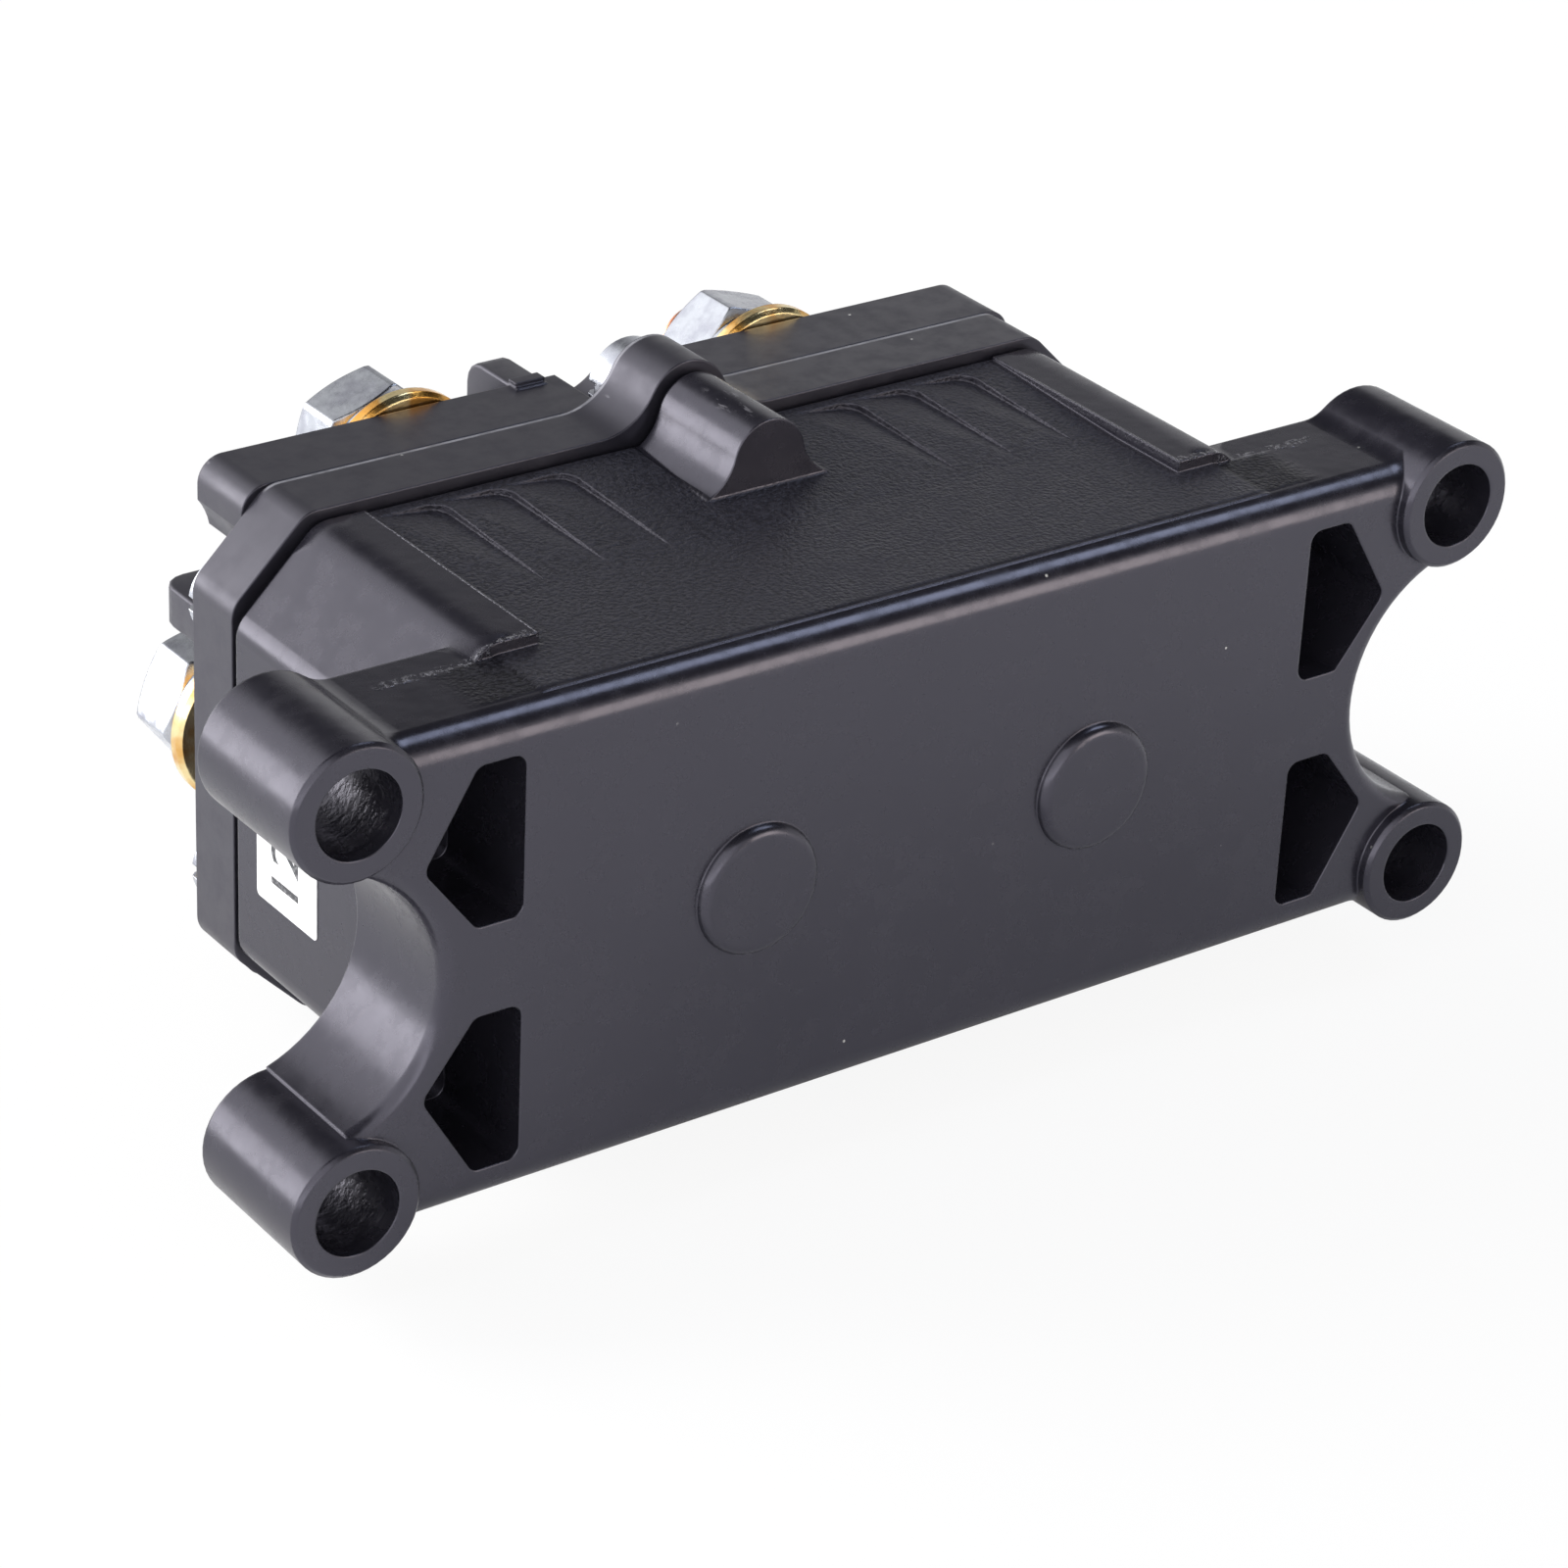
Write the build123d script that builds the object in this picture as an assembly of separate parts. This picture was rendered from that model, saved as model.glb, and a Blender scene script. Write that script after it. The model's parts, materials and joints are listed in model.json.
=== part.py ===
from build123d import *
import math
import os

# Winch contactor: a sealed reversing relay for a small winch. Two coils side by side push two
# contact bridges between battery and motor contacts. It bolts down through four ears on its
# back plate, and four threaded studs on its front take the cables.
# Frame: X along the long side, Y out of the mounting surface towards the studs, Z across the
# short side. The origin is the centre of the four mounting holes, on the mounting surface.

# Mounting ears and back plate
hole_pitch_x = 94.0
ear_drop = 3.4
mount_hole_d = 6.5
mount_counterbore_d = 7.4
mount_counterbore_depth = 4.0
ear_d = 10.0
ear_length = 12.3
ear_end_round = 1.0
ear_edge_break = 0.3
plate_set_back = 1.0
plate_inset = 0.1
plate_edge_round = 2.2
plate_thickness = 11.0
scallop_depth = 7.1
scallop_edge_round = 1.0
ear_blend = 3.0

# Lightening windows in the ends of the back plate
window_inner_x = 33.7
window_shoulder_x = 37.4
window_tip_x = 41.5
window_tip_z = 8.7
window_margin = 2.8
window_bottom_z = 3.4
window_depth = 9.5
window_round = 1.0

# Round pads over the two coils
coil_pitch = 29.4
pad_d = 9.9
pad_height = 0.8
pad_round = 0.75

# Casing walls
casing_half_length = 38.0
casing_half_height = 18.4
casing_wall = 2.0
casing_corner_rise = 0.9
casing_corner_chamfer = 6.4
casing_corner_start = 27.6
casing_corner_end_y = 9.2
casing_corner_round = 2.4
casing_mouth_y = 31.4
coil_clearance = 2.2

# Louvre-like pockets in the upper and lower walls, deepest at their far corner by the seam
louvre_pitch = 5.3
louvre_count = 3
louvre_left_x = -11.3
louvre_right_x = 24.5
louvre_rise = 0.7
louvre_depth = 0.6
louvre_length = 15.0
louvre_margin = 0.9
louvre_round = 1.4

# Bell-shaped bosses for the two middle cover screws
boss_rise = 5.5
boss_crest_round = 3.0
boss_flank_round = 4.0
boss_end_y = 21.7

# Gasket between casing and cover
gasket_thickness = 0.6
gasket_inset = 0.7
gasket_width = 1.1
gasket_eye_gap = 0.5

# Front cover: rim, terminal block and barriers
rim_half_length = 38.0
rim_overhang = 1.5
rim_chamfer = 6.0
rim_round = 2.2
rim_thickness = 5.7
rim_edge_chamfer = 0.25
lobe_overhang = 0.7
lobe_crest_round = 3.4
lobe_flank_round = 5.0
block_end_gap = 4.1
block_inset = 0.1
block_height = 6.5
block_round = 2.0
block_edge_chamfer = 0.25
hollow_depth = 1.0
hollow_r = 5.0
hollow_z = 13.6
block_front_wall = 4.2
barrier_height = 5.7
barrier_thickness = 3.2
barrier_drop = 8.2
upright_thickness = 2.5
upright_gap = 5.1
barrier_round = 0.6
cover_cavity_gap = 2.25
cover_long_wall = 5.2

# Cover screws
screw_d = 4.0
screw_pilot_d = 3.4
screw_length = 14.0
screw_head_d = 6.6
screw_head_height = 2.8
screw_slot_width = 1.0
screw_slot_depth = 1.2
screw_pocket_clearance = 0.45
screw_edge_break = 0.4
middle_screw_depth = 3.7
corner_screw_inset = 4.4
corner_screw_z = 10.8

# Terminals
stud_d = 6.0
stud_tip_y = 55.4
stud_tip_chamfer = 0.7
stud_collar_d = 7.4
stud_collar_height = 1.5
upper_stud_x = 16.2
upper_stud_drop = 5.3
lower_stud_gap = 0.75
lower_stud_drop = 9.2
washer_d = 12.6
washer_thickness = 1.5
washer_edge_break = 0.35
spring_washer_d = 10.0
spring_washer_thickness = 1.5
spring_washer_cut = 0.9
nut_across_flats = 10.0
nut_height = 5.0
nut_chamfer = 0.7
thread_clearance = 0.15

# Blade terminals for the coils
blade_width = 6.3
blade_thickness = 0.8
blade_length = 9.5
blade_pitch = 13.0
blade_drop = 6.8
blade_root = 2.0
blade_tip_cut = 1.2
blade_hole_inset = 3.2
blade_hole_d = 1.7

# Coils and magnet circuit
yoke_thickness = 2.0
yoke_width = 20.0
yoke_clearance = 1.0
yoke_length = 22.0
bobbin_bore_d = 10.6
bobbin_wall = 1.0
bobbin_gap = 0.7
bobbin_flange_thickness = 1.2
winding_inset = 0.7
core_d = 10.4
core_length = 8.6

# Moving armature
travel = 2.5
running_gap = 0.3
plunger_d = 10.0
core_gap = 0.5
rod_d = 3.0
rod_seat_depth = 4.0
rod_end = 1.6
rod_collar_gap = 1.5
rod_collar_d = 6.0
rod_collar_thickness = 0.8
bridge_length = 18.0
bridge_width = 6.0
bridge_thickness = 1.6
bush_d = 5.0
bush_flange_d = 8.0
bush_flange_thickness = 0.8
contact_reach = 6.5
tip_d = 5.0
tip_height = 0.6
contact_spring_wire = 0.6
return_spring_wire = 0.6
return_spring_d = 6.6
return_spring_turns = 3.0
contact_spring_turns = 2.5
spring_pocket_d = 8.6
spring_pocket_depth = 2.4

# Copper strips inside the cover
strip_thickness = 1.5
strip_width = 6.4
fixed_tip_height = 0.5
strip_edge = 2.6
strip_neck_z = 6.3
strip_leg_z = 7.5
strip_fold_gap = 0.35

# Places worked out from the sizes above
plate_half_height = casing_half_height - plate_inset
hole_pitch_z = 2 * (casing_half_height - ear_drop)
window_top_z = plate_half_height - window_margin
boss_crest = casing_half_height + boss_rise
rim_half_height = casing_half_height + rim_overhang
lobe_crest = boss_crest + lobe_overhang
block_half_length = rim_half_length - block_end_gap
block_half_height = rim_half_height - block_inset
cover_cavity_half_height = block_half_height - cover_long_wall
middle_screw_z = boss_crest - middle_screw_depth
corner_screw_x = casing_half_length - corner_screw_inset
upper_stud_z = block_half_height - upper_stud_drop
barrier_z = upper_stud_z - barrier_drop
lower_stud_z = barrier_z - lower_stud_drop
blade_z = blade_drop - block_half_height
yoke_half_height = casing_half_height - casing_wall - yoke_clearance
bobbin_flange_d = 2 * (yoke_half_height - yoke_thickness - bobbin_gap)
winding_d = bobbin_flange_d - 2 * winding_inset
plate_y = plate_set_back
floor_y = plate_y + casing_wall
seam_y = casing_mouth_y + gasket_thickness
rim_front_y = seam_y + rim_thickness
block_front_y = rim_front_y + block_height
wall_y = block_front_y - block_front_wall
barrier_tip_y = block_front_y + barrier_height
coil_x = coil_pitch / 2
cavity_half_length = coil_x + bobbin_flange_d / 2 + coil_clearance
strip_fold_x = coil_x + bridge_length / 2 + strip_fold_gap
lower_stud_x = strip_fold_x + strip_thickness + stud_d / 2 + lower_stud_gap
cover_cavity_half_length = strip_fold_x + strip_thickness + cover_cavity_gap
ear_r = ear_d / 2
scallop_bottom_x = hole_pitch_x / 2 - scallop_depth
scallop_r = ((hole_pitch_z / 2) ** 2 + scallop_depth ** 2 - ear_r ** 2) / (2 * (scallop_depth + ear_r))
scallop_x = scallop_bottom_x + scallop_r
yoke_y = floor_y
pole_front_y = yoke_y + yoke_length
pole_back_y = pole_front_y - yoke_thickness
bobbin_y0 = yoke_y + yoke_thickness
plunger_y = floor_y + running_gap
core_back_y = pole_front_y - core_length
plunger_front_y = core_back_y - travel - core_gap
front_strip_y = wall_y - strip_thickness
front_tip_y = front_strip_y - fixed_tip_height
bridge_y = front_tip_y - running_gap - travel - tip_height - bridge_thickness
bridge_front_y = bridge_y + bridge_thickness
rear_tip_y = bridge_y - tip_height - running_gap
rear_strip_front_y = rear_tip_y - fixed_tip_height
rear_strip_y = rear_strip_front_y - strip_thickness
bush_front_y = bridge_front_y + bush_flange_thickness
rod_collar_y = pole_front_y + rod_collar_gap
pad_y = plate_y - pad_height


def prism(sketch, y0, y1):
    """A straight solid with its section in X and Z, from y0 to y1."""
    return extrude(Plane.XZ.offset(-y1) * sketch, amount=y1 - y0)


def rod(x, z, diameter, y0, y1):
    """A round bar along Y."""
    return prism(Pos(x, z) * Circle(diameter / 2), y0, y1)


def box(x0, x1, y0, y1, z0, z1):
    """A block between six planes."""
    size = (x1 - x0, y1 - y0, z1 - z0)
    return Pos((x0 + x1) / 2, (y0 + y1) / 2, (z0 + z1) / 2) * Box(*size)


def both_ends(shape):
    """A shape and its mirror image across X."""
    return shape + mirror(shape, Plane.YZ)


def top_and_bottom(shape):
    """A shape and its mirror image across Z."""
    return shape + mirror(shape, Plane.XY)


def octagon(half_length, half_height, chamfer_size, corner_round):
    """A rectangle with cut and rounded corners."""
    outline = Rectangle(2 * half_length, 2 * half_height)
    outline = chamfer(outline.vertices(), chamfer_size)
    return fillet(outline.vertices(), corner_round)


def bell(base_z, crest_z, crest_round, flank_round):
    """A boss section with a round crest that flares into a flat top by concave flanks."""
    crest_centre_z = crest_z - crest_round
    rise = base_z + flank_round - crest_centre_z
    foot_x = math.sqrt((flank_round + crest_round) ** 2 - rise ** 2)
    share = crest_round / (crest_round + flank_round)
    meet_x = foot_x * share
    meet_z = crest_centre_z + rise * share
    start = math.atan2(meet_z - base_z - flank_round, meet_x - foot_x) % (2 * math.pi)
    half = (start + 1.5 * math.pi) / 2
    flank_x = foot_x + flank_round * math.cos(half)
    flank_z = base_z + flank_round + flank_round * math.sin(half)
    right = ThreePointArc((foot_x, base_z), (flank_x, flank_z), (meet_x, meet_z))
    crest = ThreePointArc((meet_x, meet_z), (0, crest_z), (-meet_x, meet_z))
    left = ThreePointArc((-meet_x, meet_z), (-flank_x, flank_z), (-foot_x, base_z))
    floor = Polyline((-foot_x, base_z), (-foot_x, 0), (foot_x, 0), (foot_x, base_z))
    return make_face(right + crest + left + floor)


def window_outline():
    """The five-sided window between an ear and the coil chamber."""
    points = [
        (window_inner_x, window_bottom_z),
        (window_shoulder_x, window_bottom_z),
        (window_tip_x, window_tip_z),
        (window_shoulder_x, window_top_z),
        (window_inner_x, window_top_z),
    ]
    outline = make_face(Polyline(*points, close=True))
    return fillet(outline.vertices(), window_round)


def ear_places():
    """Centres of the four mounting holes."""
    return [(sx * hole_pitch_x / 2, sz * hole_pitch_z / 2) for sx in (-1, 1) for sz in (-1, 1)]


def screw_places():
    """Centres of the six cover screws."""
    middle = [(0.0, middle_screw_z), (0.0, -middle_screw_z)]
    corners = [(sx * corner_screw_x, sz * corner_screw_z) for sx in (-1, 1) for sz in (-1, 1)]
    return middle + corners


def back_plate():
    """The plate with its four ears, end scallops and rounded long edges."""
    outline = Rectangle(hole_pitch_x, 2 * plate_half_height)
    for x, z in ear_places():
        outline += Pos(x, z) * Circle(ear_r)
    for side in (-1, 1):
        outline -= Pos(side * scallop_x, 0) * Circle(scallop_r)
    notch_x = hole_pitch_x / 2 - math.sqrt(ear_r ** 2 - (plate_half_height - hole_pitch_z / 2) ** 2)
    notches = [v for v in outline.vertices() if abs(abs(v.X) - notch_x) < 0.01]
    outline = fillet(notches, ear_blend)
    plate = prism(outline, plate_y, plate_y + plate_thickness)
    front = plate.faces().sort_by(Axis.Y)[0]
    long_edges = [e for e in front.edges() if e.length > hole_pitch_x / 2]
    plate = fillet(long_edges, plate_edge_round)
    front = plate.faces().sort_by(Axis.Y)[0]
    end_edges = front.edges().filter_by(GeomType.CIRCLE).group_by(SortBy.LENGTH)[-1]
    plate = fillet(end_edges, scallop_edge_round)
    for x, z in ear_places():
        ear = rod(x, z, ear_d, 0, ear_length)
        ear = fillet(ear.edges().group_by(Axis.Y)[-1], ear_end_round)
        ear = chamfer(ear.edges().group_by(Axis.Y)[0], ear_edge_break)
        plate += ear
    return plate


def casing_outline():
    """The casing's section behind the cover."""
    full = casing_half_height + casing_corner_rise
    return octagon(casing_half_length, full, casing_corner_chamfer, casing_corner_round)


def casing_body():
    """The box with its raised corners, before it is hollowed."""
    corners = prism(casing_outline(), casing_corner_end_y, casing_mouth_y)
    middle = 2 * casing_corner_start
    above = casing_half_height + 2 * casing_corner_rise
    sunk = box(-middle / 2, middle / 2, 0, casing_mouth_y + 1, casing_half_height, above)
    corners -= top_and_bottom(sunk)
    low = octagon(casing_half_length, casing_half_height, casing_corner_chamfer, casing_corner_round)
    return corners + prism(low, plate_y + plate_edge_round, casing_corner_end_y)


def louvre_band():
    """The band behind the seam that fades into the wall, before its pockets are cut."""
    low_y = casing_mouth_y - louvre_length
    section = Polyline(
        (low_y, casing_half_height),
        (casing_mouth_y, casing_half_height + louvre_rise),
        (casing_mouth_y, casing_half_height - casing_wall / 2),
        (low_y, casing_half_height - casing_wall / 2),
        close=True,
    )
    return extrude(Plane.YZ.offset(-casing_corner_start) * make_face(section), amount=2 * casing_corner_start)


def louvre(x):
    """A shallow pocket left of x, deepest at its upper corner and running out to the other side."""
    top_y = casing_mouth_y - louvre_margin
    low_y = casing_mouth_y - louvre_length
    corners = [(x - louvre_pitch, low_y), (x, low_y), (x, top_y), (x - louvre_pitch, top_y)]
    outline = make_face(Polyline(*corners, close=True))
    corner = outline.vertices().sort_by(Axis.Y)[-2:].sort_by(Axis.X)[-1]
    outline = fillet(corner, louvre_round)
    band_z = casing_half_height + louvre_rise * (1 - louvre_margin / louvre_length)
    start = Vector(x - louvre_pitch, top_y, band_z)
    down = Vector(x, low_y, casing_half_height) - start
    across = Vector(x, top_y, band_z - louvre_depth) - start
    foot = Plane.XY.offset(casing_half_height - louvre_depth)
    pocket = extrude(foot * outline, amount=2 * louvre_depth + louvre_rise)
    floor = Plane(origin=start, x_dir=across, z_dir=down.cross(across))
    return split(pocket, bisect_by=floor, keep=Keep.TOP)


def louvres():
    """All pockets of one wall."""
    cut = louvre(louvre_right_x)
    for index in range(1, louvre_count):
        cut += louvre(louvre_right_x - index * louvre_pitch)
    for index in range(louvre_count):
        cut += louvre(louvre_left_x - index * louvre_pitch)
    return cut


def rear_casing():
    """The moulded case: back plate, coil chamber, screw bosses and louvres."""
    case = casing_body() + back_plate()
    boss = prism(bell(casing_half_height, boss_crest, boss_crest_round, boss_flank_round),
                 boss_end_y, casing_mouth_y)
    case += top_and_bottom(boss)
    case += top_and_bottom(louvre_band() - louvres())
    inner_height = casing_half_height - casing_wall
    case -= box(-cavity_half_length, cavity_half_length, floor_y, casing_mouth_y + 1,
                -inner_height, inner_height)
    for x, z in screw_places():
        depth = screw_length - rim_thickness - gasket_thickness + 1
        case -= rod(x, z, screw_pilot_d, casing_mouth_y - depth, casing_mouth_y + 1)
    for x, z in ear_places():
        case -= rod(x, z, mount_hole_d, -1, ear_length + 1)
        case -= rod(x, z, mount_counterbore_d, ear_length - mount_counterbore_depth, ear_length + 1)
    windows = prism(window_outline(), 0, plate_y + window_depth)
    case -= top_and_bottom(both_ends(windows))
    pad = rod(coil_x, 0, pad_d, pad_y, plate_y + 0.5)
    pad = fillet(pad.edges().group_by(Axis.Y)[0], pad_round)
    return case + both_ends(pad)


def gasket():
    """The flat seal ring in the seam, with an eye round each corner screw."""
    outer = offset(casing_outline(), -gasket_inset)
    height = casing_half_height - gasket_inset
    outer = outer & Rectangle(2 * casing_half_length, 2 * height)
    inner = offset(outer, -gasket_width)
    hole_r = screw_d / 2 + gasket_eye_gap
    ring = outer - inner
    for x, z in screw_places():
        ring += outer & (Pos(x, z) * Circle(hole_r + gasket_width))
    for x, z in screw_places():
        ring -= Pos(x, z) * Circle(hole_r)
    return prism(ring, casing_mouth_y, seam_y)


def block_outline():
    """The terminal block's outline, hollowed at its ends and cut away round the cover screws."""
    outline = RectangleRounded(2 * block_half_length, 2 * block_half_height, block_round)
    pocket = screw_head_d / 2 + screw_pocket_clearance
    hollow_x = block_half_length - hollow_depth + hollow_r
    for side in (-1, 1):
        for z in (-hollow_z, hollow_z):
            outline -= Pos(side * hollow_x, z) * Circle(hollow_r)
    for x, z in screw_places():
        outline -= Pos(x, z) * Circle(pocket)
        if x == 0:
            outline -= Pos(x, math.copysign(abs(z) + pocket, z)) * Rectangle(2 * pocket, 2 * pocket)
        else:
            outline -= Pos(math.copysign(abs(x) + pocket, x), z) * Rectangle(2 * pocket, 2 * pocket)
    return outline


def barriers():
    """The wall between battery and motor studs, and the upright between the battery studs."""
    z0 = barrier_z - barrier_thickness / 2
    z1 = barrier_z + barrier_thickness / 2
    long_wall = box(-block_half_length, block_half_length, block_front_y - 1, barrier_tip_y, z0, z1)
    long_wall = fillet(long_wall.edges().group_by(Axis.Y)[-1], barrier_round)
    outer = upright_gap + upright_thickness
    upright = box(-outer, -upright_gap, block_front_y - 1, barrier_tip_y, z0, block_half_height)
    upright = fillet(upright.edges().group_by(Axis.Y)[-1], barrier_round)
    collar = Pos(0, middle_screw_z) * (Circle(outer) - Circle(upright_gap))
    collar &= Pos(-upright_thickness / 2, middle_screw_z - outer) * Rectangle(outer + upright_gap, 2 * outer)
    return long_wall + upright + prism(collar, block_front_y - 1, barrier_tip_y)


def front_cover():
    """The moulded cover: rim with two lobes, terminal block, barriers and contact chamber."""
    rim = octagon(rim_half_length, rim_half_height, rim_chamfer, rim_round)
    lobe = bell(rim_half_height, lobe_crest, lobe_crest_round, lobe_flank_round)
    cover = prism(rim, seam_y, rim_front_y) + top_and_bottom(prism(lobe, seam_y, rim_front_y))
    front = cover.faces().sort_by(Axis.Y)[-1]
    cover = chamfer(front.edges(), rim_edge_chamfer)
    block = prism(block_outline(), rim_front_y, block_front_y)
    cover += chamfer(block.faces().sort_by(Axis.Y)[-1].edges(), block_edge_chamfer)
    cover += barriers()
    cover -= box(-cover_cavity_half_length, cover_cavity_half_length, seam_y - 1, wall_y,
                 -cover_cavity_half_height, cover_cavity_half_height)
    chamber = strip_thickness + stud_collar_height + 0.3
    for side in (-1, 1):
        reach = lower_stud_x + stud_collar_d / 2 + 0.2
        x0, x1 = sorted((side * (cover_cavity_half_length - 1), side * reach))
        low = lower_stud_z - stud_collar_d / 2 - 0.2
        cover -= box(x0, x1, wall_y - chamber, wall_y, low, lower_stud_z + stud_collar_d / 2 + 0.2)
        x0 = side * upper_stud_x - stud_collar_d / 2 - 0.3
        top = upper_stud_z + stud_collar_d / 2 + 0.2
        cover -= box(x0, x0 + stud_collar_d + 0.6, wall_y - chamber, wall_y,
                     cover_cavity_half_height - 1, top)
        cover -= rod(side * coil_x, 0, spring_pocket_d, wall_y - 1, wall_y + spring_pocket_depth)
        cover -= rod(side * upper_stud_x, upper_stud_z, stud_d, wall_y - 1, block_front_y + 1)
        cover -= rod(side * lower_stud_x, lower_stud_z, stud_d, wall_y - 1, block_front_y + 1)
        x0 = side * blade_pitch / 2 - blade_width / 2
        cover -= box(x0, x0 + blade_width, wall_y - 1, block_front_y + 1,
                     blade_z - blade_thickness / 2, blade_z + blade_thickness / 2)
    for x, z in screw_places():
        cover -= rod(x, z, screw_d + 0.4, seam_y - 1, rim_front_y + 1)
    return cover


def cover_screw(x, z):
    """A slotted cheese-head screw that clamps the cover to the casing."""
    tip_y = rim_front_y - screw_length
    shank = rod(x, z, screw_pilot_d, tip_y, rim_front_y)
    head = rod(x, z, screw_head_d, rim_front_y, rim_front_y + screw_head_height)
    head = chamfer(head.edges().group_by(Axis.Y)[-1], screw_edge_break)
    slot_y = rim_front_y + screw_head_height - screw_slot_depth
    half = screw_head_d / 2 + 1
    head -= box(x - half, x + half, slot_y, slot_y + 5, z - screw_slot_width / 2, z + screw_slot_width / 2)
    return shank + head


def stud(x, z):
    """A copper stud with a flat collar under the strip that it holds."""
    collar = rod(x, z, stud_collar_d, front_strip_y - stud_collar_height, front_strip_y)
    shank = rod(x, z, stud_d, front_strip_y - stud_collar_height, stud_tip_y)
    shank = chamfer(shank.edges().group_by(Axis.Y)[-1], stud_tip_chamfer)
    return shank + collar


def flat_washer(x, z):
    """The wide washer that the cable lug presses on."""
    ring = Circle(washer_d / 2) - Circle(stud_d / 2 + thread_clearance)
    washer = prism(Pos(x, z) * ring, block_front_y, block_front_y + washer_thickness)
    outer = washer.edges().filter_by(GeomType.CIRCLE).group_by(SortBy.LENGTH)[-1]
    return chamfer(outer, washer_edge_break)


def spring_washer(x, z):
    """A split spring washer, flattened by the nut."""
    ring = Circle(spring_washer_d / 2) - Circle(stud_d / 2 + thread_clearance)
    y0 = block_front_y + washer_thickness
    washer = prism(Pos(x, z) * ring, y0, y0 + spring_washer_thickness)
    cut = Pos(x, y0 + spring_washer_thickness / 2, z - spring_washer_d / 2)
    slit = Rot(0, 0, 25) * Box(spring_washer_cut, 3 * spring_washer_thickness, spring_washer_d)
    return washer - cut * slit


def hex_nut(x, z, turn):
    """A plain hexagon nut with chamfered corners on its outer face."""
    y0 = block_front_y + washer_thickness + spring_washer_thickness
    y1 = y0 + nut_height
    hexagon = Pos(x, z) * Rot(0, 0, turn) * RegularPolygon(nut_across_flats / 2, 6, major_radius=False)
    nut = prism(hexagon, y0, y1)
    across = nut_across_flats / math.cos(math.pi / 6)
    round_bar = rod(x, z, across, y0, y1)
    outer_edge = round_bar.edges().group_by(Axis.Y)[-1]
    round_bar = chamfer(outer_edge, nut_chamfer * 0.6, nut_chamfer)
    return (nut & round_bar) - rod(x, z, stud_d + 2 * thread_clearance, y0 - 1, y1 + 1)


def blade(side):
    """A flat push-on terminal for one coil."""
    x = side * blade_pitch / 2
    tip_y = block_front_y + blade_length
    outline = Polyline(
        (x - blade_width / 2, wall_y - blade_root),
        (x + blade_width / 2, wall_y - blade_root),
        (x + blade_width / 2, tip_y - blade_tip_cut),
        (x + blade_width / 2 - blade_tip_cut, tip_y),
        (x - blade_width / 2 + blade_tip_cut, tip_y),
        (x - blade_width / 2, tip_y - blade_tip_cut),
        close=True,
    )
    face = make_face(outline) - Pos(x, tip_y - blade_hole_inset) * Circle(blade_hole_d / 2)
    return extrude(Plane.XY.offset(blade_z - blade_thickness / 2) * face, amount=blade_thickness)


def yoke(side):
    """The folded steel frame round one coil."""
    x0 = side * coil_x - yoke_width / 2
    outer = box(x0, x0 + yoke_width, yoke_y, pole_front_y, -yoke_half_height, yoke_half_height)
    inner_half = yoke_half_height - yoke_thickness
    outer -= box(x0 - 1, x0 + yoke_width + 1, yoke_y + yoke_thickness, pole_front_y + 1,
                 -inner_half, inner_half)
    return outer - rod(side * coil_x, 0, bobbin_bore_d, yoke_y - 1, yoke_y + yoke_thickness + 1)


def pole_piece(side):
    """The fixed core with its plate, which closes the steel frame at the contact end."""
    x = side * coil_x
    half = yoke_half_height - yoke_thickness
    plate = box(x - yoke_width / 2, x + yoke_width / 2, pole_back_y, pole_front_y, -half, half)
    core = rod(x, 0, core_d, core_back_y, pole_front_y)
    core = chamfer(core.edges().group_by(Axis.Y)[0], 0.6)
    return plate + core - rod(x, 0, rod_d + 2 * running_gap, core_back_y - 1, pole_front_y + 1)


def bobbin(side):
    """The moulded former that carries one winding."""
    x = side * coil_x
    tube_d = bobbin_bore_d + 2 * bobbin_wall
    body = rod(x, 0, tube_d, bobbin_y0, pole_back_y)
    body += rod(x, 0, bobbin_flange_d, bobbin_y0, bobbin_y0 + bobbin_flange_thickness)
    body += rod(x, 0, bobbin_flange_d, pole_back_y - bobbin_flange_thickness, pole_back_y)
    return body - rod(x, 0, bobbin_bore_d, bobbin_y0 - 1, pole_back_y + 1)


def winding(side):
    """The enamelled copper coil."""
    x = side * coil_x
    y0 = bobbin_y0 + bobbin_flange_thickness
    y1 = pole_back_y - bobbin_flange_thickness
    tube_d = bobbin_bore_d + 2 * bobbin_wall
    return rod(x, 0, winding_d, y0, y1) - rod(x, 0, tube_d, y0 - 1, y1 + 1)


def plunger(side):
    """The steel plunger that the coil pulls towards the core."""
    x = side * coil_x
    body = rod(x, 0, plunger_d, plunger_y, plunger_front_y)
    ends = body.edges().group_by(Axis.Y)
    body = chamfer(ends[0] + ends[-1], 0.5)
    return body - rod(x, 0, rod_d, plunger_front_y - rod_seat_depth, plunger_front_y + 1)


def push_rod(side):
    """The rod between plunger and contact bridge, with a collar for the contact spring."""
    x = side * coil_x
    shaft = rod(x, 0, rod_d, plunger_front_y - rod_seat_depth, bush_front_y + rod_end)
    shaft = chamfer(shaft.edges().group_by(Axis.Y)[-1], 0.4)
    return shaft + rod(x, 0, rod_collar_d, rod_collar_y, rod_collar_y + rod_collar_thickness)


def contact_bush(side):
    """The insulating bush that holds the bridge on the rod."""
    x = side * coil_x
    body = rod(x, 0, bush_d, bridge_y, bush_front_y)
    body += rod(x, 0, bush_flange_d, bridge_front_y, bush_front_y)
    return body - rod(x, 0, rod_d, bridge_y - 1, bush_front_y + 1)


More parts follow.
